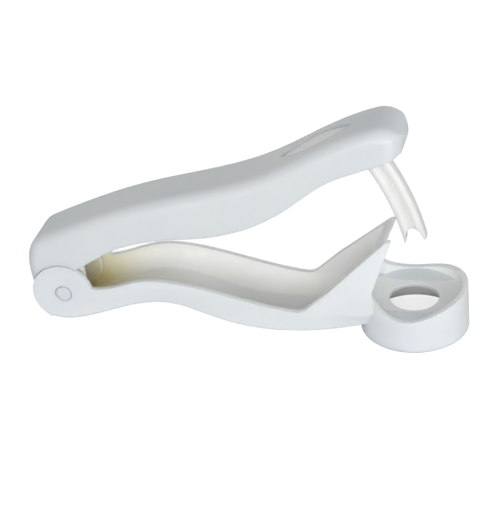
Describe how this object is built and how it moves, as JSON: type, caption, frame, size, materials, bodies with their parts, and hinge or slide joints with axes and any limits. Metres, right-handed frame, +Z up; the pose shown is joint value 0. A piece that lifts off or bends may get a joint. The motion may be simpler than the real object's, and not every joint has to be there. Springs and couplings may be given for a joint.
{
  "type": "cherry pitter",
  "caption": "Hand-held cherry pitter: two hinged plastic channel handles, a sprung lever with a curved punch, and a cup with a pit hole under a leaning splash hood.",
  "frame": {"origin": "on the table, under the middle of the tool's length and width", "axes": "+Z up, +X from the hinge to the cup, +Y to the far side of the picture"},
  "size_m": [0.1493, 0.036, 0.076],
  "materials": {
    "white_plastic": "satin",
    "punch_plastic": "satin",
    "spring_steel": "drawn wire"
  },
  "bodies": {
    "lower_body": {"lower_handle": "white_plastic", "hinge_pin": "white_plastic", "pin_cap": "white_plastic", "return_spring": "spring_steel"},
    "upper_body": {"upper_handle": "white_plastic", "punch": "punch_plastic"}
  },
  "joints": [
    {"name": "lever_hinge", "type": "hinge", "parent": "lower_body", "child": "upper_body", "pos_m": [-0.06245, 0, 0.0121], "axis": [0, 1, 0], "range_deg": [0, 14.5], "stiffness_Nm_per_rad": 0.25, "springref_deg": -34.38, "deforming": ["return_spring"]}
  ]
}
